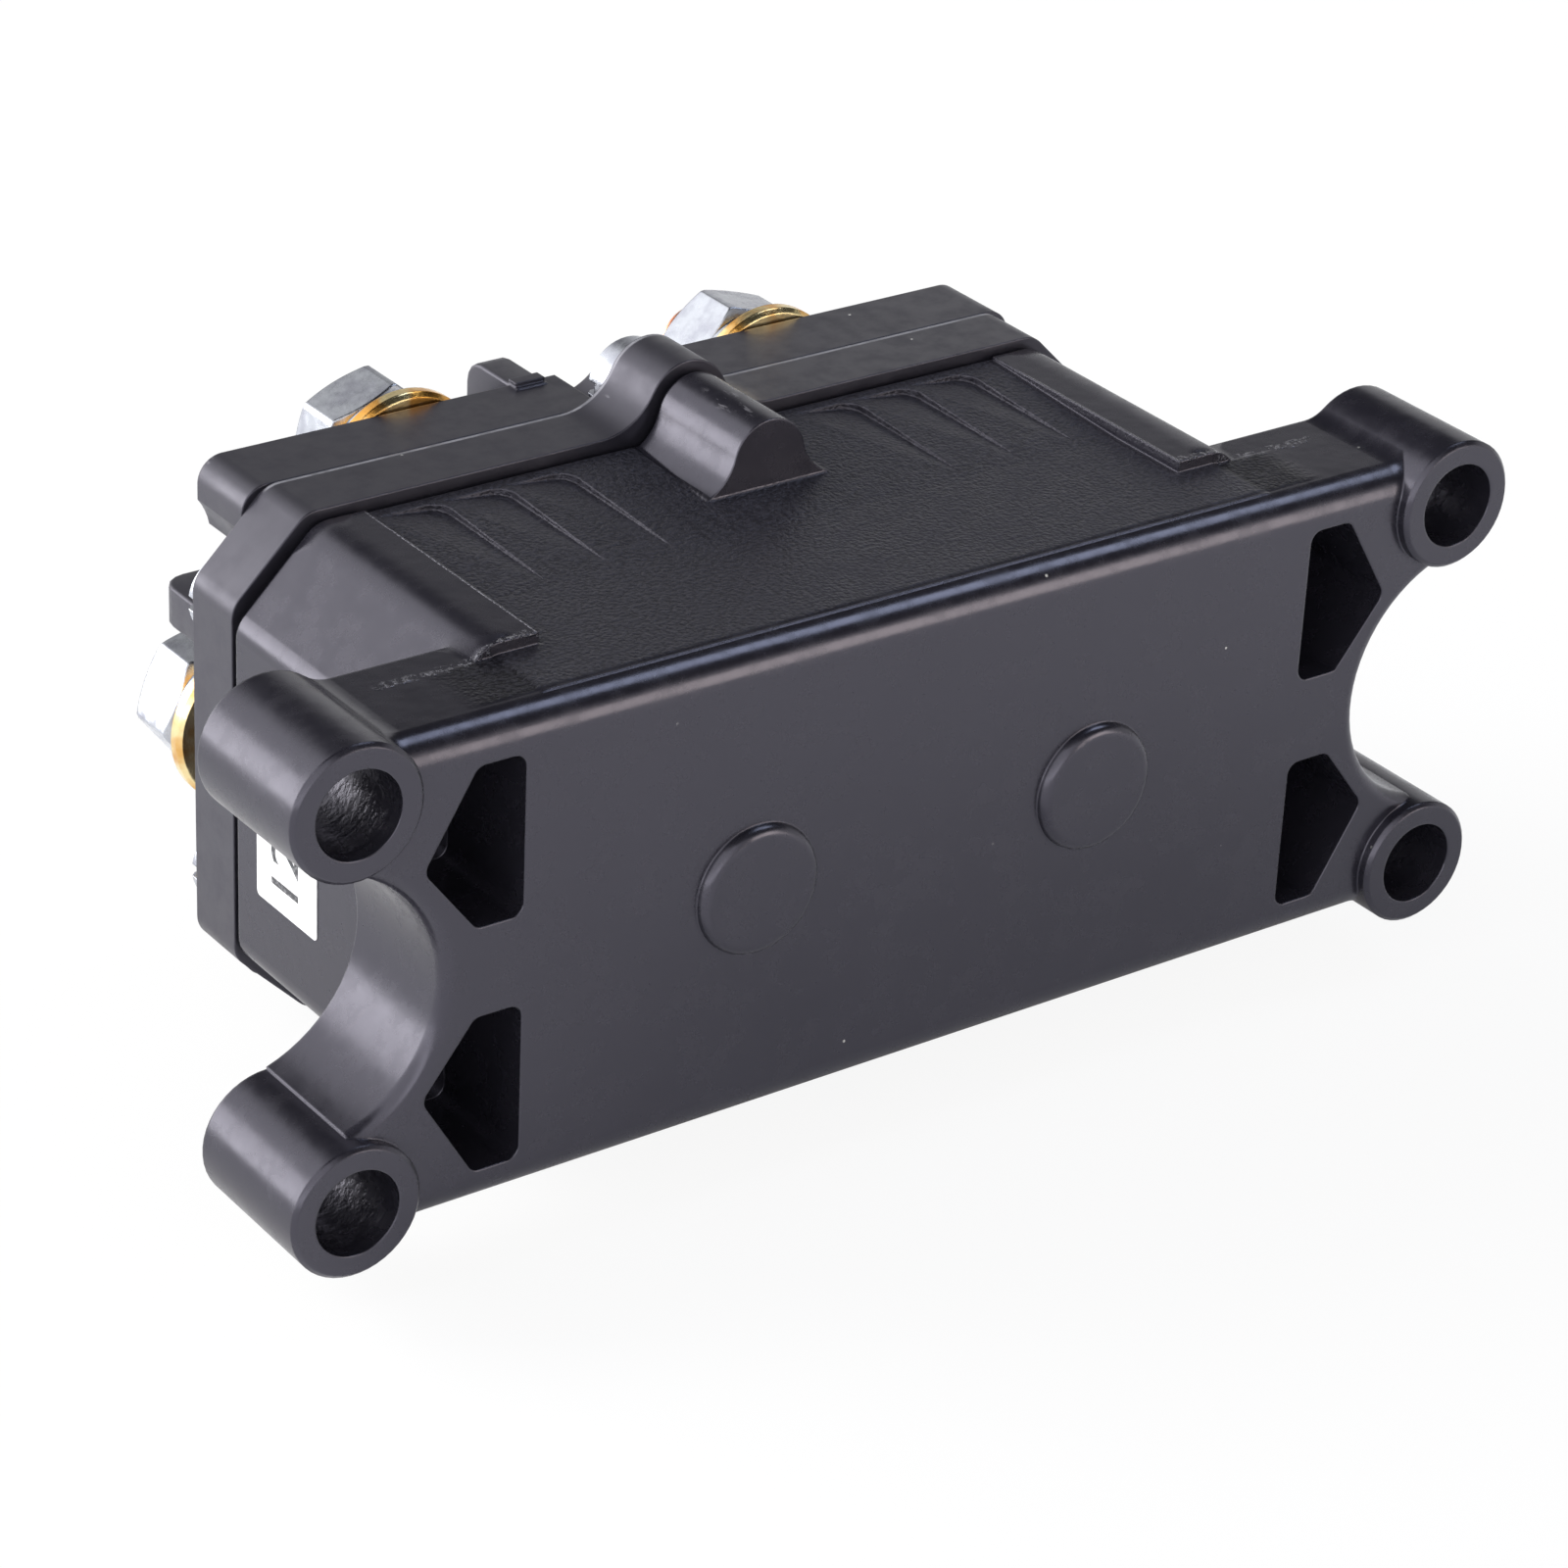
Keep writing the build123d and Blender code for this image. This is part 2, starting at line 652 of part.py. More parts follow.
def contact_bridge(side):
    """The moving copper bar with a contact tip on each face at both ends."""
    x = side * coil_x
    bar = RectangleRounded(bridge_length, bridge_width, 1.5) - Circle(bush_d / 2)
    body = prism(Pos(x, 0) * bar, bridge_y, bridge_front_y)
    for end in (-1, 1):
        tip = rod(x + end * contact_reach, 0, tip_d, bridge_y - tip_height, bridge_front_y + tip_height)
        body += tip
    return body


def spring(x, y0, y1, diameter, wire, turns):
    """A square-wire spring along Y with its wire inside y0 and y1."""
    length = y1 - y0 - wire
    path = Pos(x, y0 + wire / 2, 0) * Rot(-90, 0, 0) * Helix(length / turns, length, diameter / 2)
    section = Plane(path @ 0, z_dir=path % 0) * RegularPolygon(wire / 2, 4)
    return sweep(section, path=path)


def contact_spring(side):
    """The spring that presses the bridge on its contacts."""
    y0 = rod_collar_y + rod_collar_thickness
    return spring(side * coil_x, y0 + 0.05, bridge_y - 0.05, bush_d, contact_spring_wire,
                  contact_spring_turns)


def return_spring(side):
    """The spring that pushes the armature back when the coil lets go."""
    y1 = wall_y + spring_pocket_depth
    return spring(side * coil_x, bush_front_y + 0.1, y1 - 0.1, return_spring_d, return_spring_wire,
                  return_spring_turns)


def rectangle(x0, x1, z0, z1):
    """A rectangle in X and Z between four lines."""
    return Pos((x0 + x1) / 2, (z0 + z1) / 2) * Rectangle(x1 - x0, z1 - z0)


def battery_strip(side, at_front):
    """The strip from one battery stud to the inner contacts of both bridges."""
    eye = Pos(side * upper_stud_x, upper_stud_z) * Circle(stud_collar_d / 2)
    hole = rod(side * upper_stud_x, upper_stud_z, stud_d, front_strip_y - 1, wall_y + 1)
    inner_x = coil_x - contact_reach
    bar = rectangle(-inner_x - strip_edge, inner_x + strip_edge, -strip_edge, strip_edge)
    neck_x0, neck_x1 = sorted((side * (inner_x - strip_edge), side * (upper_stud_x + stud_collar_d / 2)))
    neck = rectangle(neck_x0, neck_x1, strip_neck_z, upper_stud_z)
    down_x0, down_x1 = sorted((side * (inner_x - strip_edge), side * (inner_x + strip_edge)))
    down = rectangle(down_x0, down_x1, 0, strip_leg_z)
    if at_front:
        flat = prism(eye + neck + down + bar, front_strip_y, wall_y)
        tips_y = (front_tip_y, front_strip_y + 0.1)
    else:
        fold_z = strip_leg_z + strip_thickness
        leg_x0, leg_x1 = sorted((side * (upper_stud_x - stud_collar_d / 2),
                                 side * (upper_stud_x + stud_collar_d / 2)))
        front = rectangle(leg_x0, leg_x1, strip_leg_z, upper_stud_z)
        flat = prism(eye + front, front_strip_y, wall_y)
        flat += box(leg_x0, leg_x1, rear_strip_y, wall_y, strip_leg_z, fold_z)
        neck = rectangle(neck_x0, neck_x1, strip_neck_z, fold_z)
        flat += prism(neck + down + bar, rear_strip_y, rear_strip_front_y)
        tips_y = (rear_strip_front_y - 0.1, rear_tip_y)
    for end in (-1, 1):
        flat += rod(end * inner_x, 0, tip_d, tips_y[0], tips_y[1])
    return flat - hole


def motor_strip(side):
    """The folded strip from one motor stud, with a contact in front of and behind the bridge."""
    outer_x = coil_x + contact_reach
    end_x = lower_stud_x + stud_collar_d / 2
    low = lower_stud_z - strip_width / 2

    def placed(x0, x1, y0, y1, z0, z1):
        first, last = sorted((side * x0, side * x1))
        return box(first, last, y0, y1, z0, z1)

    body = placed(outer_x - strip_edge, lower_stud_x, front_strip_y, wall_y, low, strip_edge)
    corner = placed(strip_fold_x + strip_thickness, end_x, front_strip_y, wall_y, low + strip_width,
                    strip_leg_z)
    body -= corner
    body += rod(side * lower_stud_x, lower_stud_z, stud_collar_d, front_strip_y, wall_y)
    body += placed(strip_fold_x, strip_fold_x + strip_thickness, rear_strip_y, wall_y, low, strip_edge)
    body += placed(outer_x - strip_edge, strip_fold_x + strip_thickness, rear_strip_y, rear_strip_front_y,
                   low, strip_edge)
    body += rod(side * outer_x, 0, tip_d, front_tip_y, front_strip_y + 0.1)
    body += rod(side * outer_x, 0, tip_d, rear_strip_front_y - 0.1, rear_tip_y)
    return body - rod(side * lower_stud_x, lower_stud_z, stud_d, front_strip_y - 1, wall_y + 1)


def group(pieces):
    """Separate solids that share one node."""
    return Compound(children=list(pieces))


os.makedirs("parts", exist_ok=True)

upper_studs = [(-upper_stud_x, upper_stud_z), (upper_stud_x, upper_stud_z)]
lower_studs = [(-lower_stud_x, lower_stud_z), (lower_stud_x, lower_stud_z)]
stud_places = upper_studs + lower_studs
nut_turns = [20.0, 44.0, 8.0, 31.0]

nodes = {
    "rear_casing": rear_casing(),
    "cover_gasket": gasket(),
    "front_cover": front_cover(),
    "cover_screws": group(cover_screw(x, z) for x, z in screw_places()),
    "terminal_studs": group(stud(x, z) for x, z in stud_places),
    "terminal_washers": group(flat_washer(x, z) for x, z in stud_places),
    "spring_washers": group(spring_washer(x, z) for x, z in stud_places),
    "terminal_nuts": group(hex_nut(x, z, turn) for (x, z), turn in zip(stud_places, nut_turns)),
    "coil_blades": group(blade(side) for side in (-1, 1)),
    "battery_strip_front": battery_strip(-1, True),
    "battery_strip_rear": battery_strip(1, False),
}

for name, side in (("left", -1), ("right", 1)):
    nodes[f"yoke_{name}"] = yoke(side)
    nodes[f"pole_piece_{name}"] = pole_piece(side)
    nodes[f"bobbin_{name}"] = bobbin(side)
    nodes[f"winding_{name}"] = winding(side)
    nodes[f"plunger_{name}"] = plunger(side)
    nodes[f"push_rod_{name}"] = push_rod(side)
    nodes[f"contact_bush_{name}"] = contact_bush(side)
    nodes[f"contact_bridge_{name}"] = contact_bridge(side)
    nodes[f"contact_spring_{name}"] = contact_spring(side)
    nodes[f"return_spring_{name}"] = return_spring(side)
    nodes[f"motor_strip_{name}"] = motor_strip(side)

for name, shape in nodes.items():
    export_step(shape, f"parts/{name}.step")
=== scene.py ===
# Winch contactor: the finish of a sealed reversing relay with four ears and four cable studs.
import bpy
import bmesh
import json
import math
from mathutils import Matrix, Quaternion, Vector


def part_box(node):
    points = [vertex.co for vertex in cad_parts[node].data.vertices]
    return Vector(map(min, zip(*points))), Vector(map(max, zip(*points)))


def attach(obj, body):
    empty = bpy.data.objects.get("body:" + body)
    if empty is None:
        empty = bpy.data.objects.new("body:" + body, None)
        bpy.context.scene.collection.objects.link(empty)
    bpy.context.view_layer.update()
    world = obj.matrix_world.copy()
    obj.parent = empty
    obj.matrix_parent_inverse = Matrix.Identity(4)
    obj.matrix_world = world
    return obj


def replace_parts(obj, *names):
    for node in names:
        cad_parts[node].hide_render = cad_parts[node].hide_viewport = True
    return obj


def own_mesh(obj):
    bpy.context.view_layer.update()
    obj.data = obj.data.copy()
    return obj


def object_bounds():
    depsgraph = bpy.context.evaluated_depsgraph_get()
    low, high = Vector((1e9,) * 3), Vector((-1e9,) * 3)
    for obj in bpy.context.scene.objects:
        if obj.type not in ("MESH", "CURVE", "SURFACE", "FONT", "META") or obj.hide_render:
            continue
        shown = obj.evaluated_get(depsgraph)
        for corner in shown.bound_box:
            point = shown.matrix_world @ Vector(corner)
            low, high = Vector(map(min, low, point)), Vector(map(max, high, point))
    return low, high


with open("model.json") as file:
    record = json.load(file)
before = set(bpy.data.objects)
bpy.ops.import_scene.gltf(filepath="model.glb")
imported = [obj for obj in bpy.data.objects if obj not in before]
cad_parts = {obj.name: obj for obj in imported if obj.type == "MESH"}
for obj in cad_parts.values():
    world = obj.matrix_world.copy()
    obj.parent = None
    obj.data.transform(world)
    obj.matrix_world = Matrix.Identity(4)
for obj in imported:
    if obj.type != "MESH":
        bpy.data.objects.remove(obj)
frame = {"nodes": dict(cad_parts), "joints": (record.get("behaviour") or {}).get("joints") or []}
cad_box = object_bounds()
nodes = frame["nodes"]
mm = 0.001

# Rear casing: one moulding of black filled nylon, satin all over, with spark-eroded grain on the two
# long walls between its corner pieces. Ragged flash is left where the mould's slides met, the crests
# are scuffed, and a little dust lies on it. Glints on the flash and shade in the louvre pockets are painted.
casing_black = (0.0085, 0.0080, 0.0115, 1)
casing_grey = (0.0125, 0.0118, 0.0165, 1)
violet_sheen = (0.86, 0.83, 1.0, 1)
dust_white = (0.42, 0.42, 0.40, 1)
scuff_grey = (0.16, 0.155, 0.17, 1)
# Pale grey painted as glints and highlights on the flash, the seam and the cover's rim.
painted_highlight_grey = (0.20, 0.20, 0.22, 1)
grain_black = (0.0035, 0.0032, 0.0045, 1)
grain_grey = (0.0150, 0.0145, 0.0190, 1)
edge_round = 0.22 * mm
relief_depth = 0.05 * mm
wall_half_length = 27.4 * mm
wall_height = 17.5 * mm
wall_plane = 18.4 * mm
wall_start_y = 3.4 * mm
mouth_y = 31.3 * mm
plate_face_y = 1.05 * mm
boss_half_width = 5.2 * mm
boss_y = 21.7 * mm
boss_top = 18.9 * mm
flash_y = 9.2 * mm
flash_x = (27.6 * mm, 41.0 * mm)
corner_top = 19.3 * mm
corner_flat_x = 31.4 * mm
foot_end_x = (37.0 * mm, 34.0 * mm)
foot_top = 18.1 * mm
seam_top = (18.6 * mm, 18.9 * mm)
scuffs = [((-0.6, 26.0, 23.9), (1.5, 3.6, 0.9)), ((-4.6, 35.5, 21.4), (0.7, 1.5, 1.0)),
          ((-33.0, 44.0, 19.6), (1.6, 0.6, 0.8)), ((33.0, 12.0, 19.2), (1.4, 1.6, 0.8))]
# Where the painted highlight runs along the cover's rim.
rim_highlight_y = 37.27 * mm
rim_top = (19.4 * mm, 19.7 * mm)
draft = 0.075
corner_round = 2.4 * mm
wall_round = 0.25 * mm
ear_axis = (47.0 * mm, 15.0 * mm)
ear_bore = 3.7 * mm


def node(tree, kind, settings=None, **inputs):
    """Adds a shader node with its settings and inputs, and gives its first output."""
    made = tree.nodes.new("ShaderNode" + kind)
    for name, value in (settings or {}).items():
        setattr(made, name, value)
    for name, value in inputs.items():
        socket = made.inputs[name.replace("_", " ")]
        if isinstance(value, bpy.types.NodeSocket):
            tree.links.new(value, socket)
        else:
            socket.default_value = value
    return made.outputs[0]


def calculate(tree, operation, *values):
    """A sum, product or comparison of numbers or sockets."""
    made = tree.nodes.new("ShaderNodeMath")
    made.operation = operation
    for socket, value in zip(made.inputs, values):
        if isinstance(value, bpy.types.NodeSocket):
            tree.links.new(value, socket)
        else:
            socket.default_value = value
    return made.outputs[0]


def product(tree, *values):
    """The product of several sockets."""
    total = values[0]
    for value in values[1:]:
        total = calculate(tree, "MULTIPLY", total, value)
    return total


def ramp(tree, value, start, end, low=0.0, high=1.0):
    """Maps a value smoothly from start..end to low..high."""
    made = tree.nodes.new("ShaderNodeMapRange")
    made.interpolation_type = "SMOOTHSTEP"
    tree.links.new(value, made.inputs["Value"])
    for name, number in (("From Min", start), ("From Max", end), ("To Min", low), ("To Max", high)):
        made.inputs[name].default_value = number
    return made.outputs[0]


def tint(tree, share, first, second):
    """Mixes two colours by a share from 0 to 1."""
    made = tree.nodes.new("ShaderNodeMix")
    made.data_type = "RGBA"
    tree.links.new(share, made.inputs[0])
    for socket, value in ((made.inputs[6], first), (made.inputs[7], second)):
        if isinstance(value, bpy.types.NodeSocket):
            tree.links.new(value, socket)
        else:
            socket.default_value = value
    return made.outputs[2]


def new_finish(name, roughness, metallic=0.0, specular=0.5):
    """A material with its tree, its shader and the place on the object."""
    material = bpy.data.materials.new(name)
    material.use_nodes = True
    tree = material.node_tree
    shader = tree.nodes["Principled BSDF"]
    shader.inputs["Roughness"].default_value = roughness
    shader.inputs["Metallic"].default_value = metallic
    shader.inputs["Specular IOR Level"].default_value = specular
    place = tree.nodes.new("ShaderNodeTexCoord").outputs["Object"]
    return material, tree, shader, place


def noise(tree, place, grain, detail=2.0, roughness=0.5):
    """Noise whose grains are about as wide as grain, in metres."""
    return node(tree, "TexNoise", Vector=place, Scale=1 / grain, Detail=detail, Roughness=roughness)


def relief(tree, shader, height, depth, rounding):
    """Gives the shader a relief of that depth and edges that look rounded, both in metres."""
    soft = node(tree, "Bevel", {"samples": 8}, Radius=rounding)
    normal = node(tree, "Bump", Height=height, Distance=depth, Strength=1.0, Normal=soft)
    tree.links.new(normal, shader.inputs["Normal"])


def patch(tree, place, centre, half_size):
    """One inside an egg-shaped patch and nothing outside it, with a soft edge."""
    scale = [1 / (half * mm) for half in half_size]
    shift = [-middle / half for middle, half in zip(centre, half_size)]
    local = node(tree, "Mapping", Vector=place, Location=shift, Scale=scale)
    distance = node(tree, "VectorMath", {"operation": "LENGTH"}, Vector=local).node.outputs["Value"]
    return ramp(tree, distance, 1.0, 0.35)


def distance_from(tree, across, up, x, z):
    """The distance from a line along Y that goes through x and z."""
    sides = []
    for value, middle in ((across, x), (up, z)):
        side = calculate(tree, "SUBTRACT", value, middle)
        sides.append(calculate(tree, "MULTIPLY", side, side))
    return calculate(tree, "SQRT", calculate(tree, "ADD", *sides))


def black_moulding(name, grained):
    """Satin black plastic with dust, handling marks, a painted highlight on the cover's rim and, on the
    casing, grained walls with painted shade in their pockets and flash with painted glints.
    """
    material, tree, shader, place = new_finish(name, 0.28, specular=0.85)
    shader.inputs["Specular Tint"].default_value = violet_sheen
    cloud = noise(tree, place, 9 * mm, 3.0)
    colour = tint(tree, cloud, casing_black, casing_grey)
    fine = noise(tree, place, 0.28 * mm, 3.0, 0.6)
    worn = None
    for centre, half_size in scuffs:
        spot = patch(tree, place, centre, half_size)
        worn = spot if worn is None else calculate(tree, "MAXIMUM", worn, spot)
    lengthwise = node(tree, "Mapping", Vector=place, Scale=(1, 0.22, 1))
    worn = product(tree, worn, ramp(tree, noise(tree, lengthwise, 0.50 * mm, 3.0, 0.6), 0.56, 0.66))
    colour = tint(tree, calculate(tree, "MULTIPLY", worn, 0.75), colour, scuff_grey)
    cells = node(tree, "TexVoronoi", Vector=place, Scale=1 / (4.2 * mm))
    some = ramp(tree, noise(tree, place, 7 * mm, 1.0), 0.52, 0.58)
    specks = product(tree, ramp(tree, cells, 0.034, 0.018), some)
    colour = tint(tree, specks, colour, dust_white)
    wear = noise(tree, place, 2.2 * mm, 4.0, 0.65)
    rough = ramp(tree, wear, 0.35, 0.75, 0.21, 0.33)
    height = calculate(tree, "MULTIPLY", noise(tree, place, 2.6 * mm, 2.0), 0.45)
    height = calculate(tree, "ADD", height, calculate(tree, "MULTIPLY", fine, 0.02))
    split = node(tree, "SeparateXYZ", Vector=place).node
    across = calculate(tree, "ABSOLUTE", split.outputs["X"])
    up = calculate(tree, "ABSOLUTE", split.outputs["Z"])
    along = split.outputs["Y"]
    if not grained:
        # A painted highlight runs as a pale line along the front edge of the cover's rim.
        line = calculate(tree, "ABSOLUTE", calculate(tree, "SUBTRACT", along, rim_highlight_y))
        line = product(tree, ramp(tree, line, 0.20 * mm, 0.06 * mm), ramp(tree, up, *rim_top),
                       ramp(tree, wear, 0.36, 0.60, 0.45, 0.9))
        colour = tint(tree, line, colour, painted_highlight_grey)
        rough = calculate(tree, "ADD", rough, 0.13)
    rounding = edge_round
    if grained:
        # The grain covers the long walls and their foot, but not the screw bosses.
        on_wall = product(tree, ramp(tree, across, wall_half_length, wall_half_length - 0.2 * mm),
                          ramp(tree, up, wall_height, wall_height + 0.2 * mm),
                          ramp(tree, along, wall_start_y, wall_start_y + 0.6 * mm))
        on_boss = product(tree, ramp(tree, across, boss_half_width, boss_half_width - 0.3 * mm),
                          ramp(tree, along, boss_y - 0.1 * mm, boss_y),
                          ramp(tree, up, boss_top - 0.3 * mm, boss_top))
        on_wall = calculate(tree, "MULTIPLY", on_wall, calculate(tree, "SUBTRACT", 1.0, on_boss))
        on_foot = product(tree, ramp(tree, across, *foot_end_x), ramp(tree, up, wall_height, foot_top),
                          ramp(tree, along, wall_start_y, wall_start_y + 0.6 * mm),
                          ramp(tree, along, flash_y + 0.1 * mm, flash_y - 0.3 * mm))
        on_wall = calculate(tree, "MAXIMUM", on_wall, on_foot)
        grain = product(tree, noise(tree, place, 0.34 * mm, 2.0, 0.5), on_wall)
        height = calculate(tree, "ADD", height, calculate(tree, "MULTIPLY", grain, 2.6))
        rough = calculate(tree, "ADD", rough, calculate(tree, "MULTIPLY", on_wall, 0.20))
        grained_colour = tint(tree, ramp(tree, grain, 0.38, 0.62), grain_black, grain_grey)
        colour = tint(tree, on_wall, colour, grained_colour)
        # The louvre pockets lie below the wall's plane, and painted shade darkens their reflections there.
        pocket_shade = product(tree, on_wall, ramp(tree, up, wall_plane, wall_plane - 0.06 * mm))
        pocket_shaded_tint = tint(tree, calculate(tree, "MULTIPLY", pocket_shade, 0.85), violet_sheen, (0.05, 0.05, 0.06, 1))
        tree.links.new(pocket_shaded_tint, shader.inputs["Specular Tint"])
        # Torn flash wanders along the foot of the corner pieces, and a fine seam marks their inner edge. Both
        # stand up in the relief, and pale grey is painted on them as glints on the flash and a highlight
        # along the seam.
        on_top = ramp(tree, up, foot_top, foot_top + 0.15 * mm)
        step_face = product(tree, ramp(tree, across, corner_flat_x, corner_flat_x - 0.3 * mm),
                            ramp(tree, up, corner_top - 0.12 * mm, corner_top - 0.25 * mm))
        wander = calculate(tree, "MULTIPLY", noise(tree, place, 1.3 * mm, 2.0), 1.1 * mm)
        offset = calculate(tree, "SUBTRACT", calculate(tree, "ADD", along, wander), flash_y + 0.6 * mm)
        torn = noise(tree, place, 0.42 * mm, 3.0, 0.6)
        flash_and_glints = product(tree, ramp(tree, calculate(tree, "ABSOLUTE", offset), 0.55 * mm, 0.10 * mm),
                        ramp(tree, torn, 0.50, 0.62), on_top,
                        ramp(tree, across, flash_x[0], flash_x[0] + 0.5 * mm),
                        ramp(tree, across, flash_x[1], flash_x[1] - 2.0 * mm),
                        calculate(tree, "SUBTRACT", 1.0, step_face))
        inner = calculate(tree, "ABSOLUTE", calculate(tree, "SUBTRACT", across, flash_x[0] + 0.10 * mm))
        seam_and_highlight = product(tree, ramp(tree, inner, 0.12 * mm, 0.04 * mm), ramp(tree, up, *seam_top),
                       ramp(tree, fine, 0.38, 0.60, 0.15, 0.9),
                       ramp(tree, along, mouth_y, mouth_y - 0.3 * mm),
                       ramp(tree, along, flash_y - 0.1 * mm, flash_y + 0.2 * mm))
        flash_and_glints = calculate(tree, "MAXIMUM", flash_and_glints, seam_and_highlight)
        # Pale grey is painted on the flash as glints and on the seam as a highlight.
        colour = tint(tree, calculate(tree, "MULTIPLY", flash_and_glints, 0.45), colour, painted_highlight_grey)
        height = calculate(tree, "ADD", height, calculate(tree, "MULTIPLY", flash_and_glints, 3.0))
        # The bores of the ears are scored, and the walls lean inwards by the mould's draft.
        from_bore = distance_from(tree, across, up, *ear_axis)
        bore = product(tree, ramp(tree, from_bore, ear_bore + 0.10 * mm, ear_bore + 0.03 * mm),
                       ramp(tree, along, plate_face_y, plate_face_y + 0.25 * mm))
        scored = product(tree, noise(tree, place, 0.55 * mm, 3.0, 0.6), bore)
        height = calculate(tree, "ADD", height, calculate(tree, "MULTIPLY", scored, 1.2))
        height = calculate(tree, "ADD", height, calculate(tree, "MULTIPLY", along, draft / relief_depth))
        # The corner pieces look rounder than the walls, and the walls rounder than the other edges.
        from_corner = distance_from(tree, across, up, corner_flat_x, corner_top)
        corner = product(tree, ramp(tree, from_corner, 3.2 * mm, 1.2 * mm),
                         ramp(tree, along, flash_y, flash_y + 1.0 * mm))
        rounding = calculate(tree, "ADD", calculate(tree, "MULTIPLY", corner, corner_round),
                             calculate(tree, "MULTIPLY", on_wall, wall_round))
        rounding = calculate(tree, "MAXIMUM", rounding, edge_round)
    tree.links.new(colour, shader.inputs["Base Color"])
    tree.links.new(rough, shader.inputs["Roughness"])
    relief(tree, shader, height, relief_depth, rounding)
    return material


nodes["rear_casing"].data.materials[0] = black_moulding("grained black nylon", True)

# Seal: a thin ring of black rubber, cut flat. It lies in the seam between casing and cover, set back a
# little from both mouldings, and the cover screws press it.
rubber, tree, shader, place = new_finish("black rubber", 0.75, specular=0.3)
grey = tint(tree, noise(tree, place, 0.8 * mm, 3.0), (0.006, 0.006, 0.006, 1), (0.014, 0.014, 0.014, 1))
tree.links.new(grey, shader.inputs["Base Color"])
relief(tree, shader, noise(tree, place, 0.3 * mm), 0.03 * mm, 0.1 * mm)
nodes["cover_gasket"].data.materials[0] = rubber

# Front cover: the second moulding of black nylon, smooth all over. The walls between its studs stand on
# the terminal block: a long one, an upright one and a collar round the middle screw. They are moulded
# with it, and made anew here with rounded ends.
block_front = 44.2 * mm
wall_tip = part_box("front_cover")[1].y
long_wall = ((-33.85 * mm, 33.85 * mm), (4.7 * mm, 7.9 * mm))
upright_wall = ((-7.7 * mm, -5.0 * mm), (6.0 * mm, 19.9 * mm))
wall_step = 0.03 * mm
collar_middle_z = 20.2 * mm
collar_radii = (5.1 * mm, 7.6 * mm)
collar_start = math.radians(22)
collar_turn = math.radians(116)
far_round = 1.9 * mm
rib_round = 0.25 * mm
rib_root = 1.3 * mm
collar_root = 0.5 * mm
collar_steps = 24


def show(name, form, material, body, angle=30):
    """Makes a finished piece from its form, in its place, riding on a body."""
    bmesh.ops.recalc_face_normals(form, faces=form.faces)
    mesh = bpy.data.meshes.new(name)
    form.to_mesh(mesh)
    form.free()
    if "custom_normal" in mesh.attributes:
        mesh.attributes.remove(mesh.attributes["custom_normal"])
    mesh.materials.append(material)
    mesh.shade_smooth()
    mesh.set_sharp_from_angle(angle=math.radians(angle))
    piece = bpy.data.objects.new(name, mesh)
    bpy.context.collection.objects.link(piece)
    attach(piece, body)
    return piece


def soften(form, offset, chosen):
    """Rounds the chosen edges of a form."""
    bmesh.ops.recalc_face_normals(form, faces=form.faces)
    bmesh.ops.bevel(form, geom=[edge for edge in form.edges if chosen(edge)], offset=offset,
                    offset_type="OFFSET", segments=4, profile=0.5, affect="EDGES", material=-1,
                    clamp_overlap=True)


def outer_edge(edge):
    """True for a sharp edge clear of the block."""
    return (min(vert.co.y for vert in edge.verts) > block_front - 2 * rib_root and edge.is_manifold
            and edge.calc_face_angle() > math.radians(50)
            and max(vert.co.y for vert in edge.verts) > block_front + 0.1 * mm)


def add_form(whole, form):
    """Adds a form to a larger one and frees it."""
    piece = bpy.data.meshes.new("one form")
    form.to_mesh(piece)
    form.free()
    whole.from_mesh(piece)
    bpy.data.meshes.remove(piece)


def add_wall(x_span, z_span, back, thin_axis):
    """A straight wall on the block with well rounded free corners, set back from the tip."""
    def free_corner(edge):
        first, second = (vert.co for vert in edge.verts)
        across = (first - second).normalized()
        return min(first.y, second.y) > wall_tip - 2 * wall_step and abs(across[thin_axis]) > 0.9

    rib = bmesh.new()
    bmesh.ops.create_cube(rib, size=1.0)
    size = (x_span[1] - x_span[0], wall_tip - block_front + rib_root, z_span[1] - z_span[0])
    bmesh.ops.scale(rib, vec=size, verts=rib.verts)
    bmesh.ops.translate(rib, vec=(sum(x_span) / 2, wall_tip - back - size[1] / 2, sum(z_span) / 2),
                        verts=rib.verts)
    soften(rib, far_round, free_corner)
    soften(rib, rib_round, outer_edge)
    add_form(cover, rib)


def add_collar():
    """The part of a ring that stands round the middle screw, with blunt ends."""
    inner, outer = collar_radii
    foot = block_front - collar_root
    tip = wall_tip - 2 * wall_step
    rib = bmesh.new()
    corners = [rib.verts.new((-radius * math.cos(collar_start), y,
                              collar_middle_z - radius * math.sin(collar_start)))
               for radius, y in ((inner, foot), (outer, foot), (outer, tip), (inner, tip))]
    sides = [rib.edges.new(pair) for pair in zip(corners, corners[1:] + corners[:1])]
    bmesh.ops.spin(rib, geom=corners + sides, cent=(0, 0, collar_middle_z), axis=(0, 1, 0),
                   angle=-collar_turn, steps=collar_steps, use_merge=False)
    bmesh.ops.holes_fill(rib, edges=[edge for edge in rib.edges if edge.is_boundary], sides=0)
    soften(rib, rib_round, outer_edge)
    add_form(cover, rib)


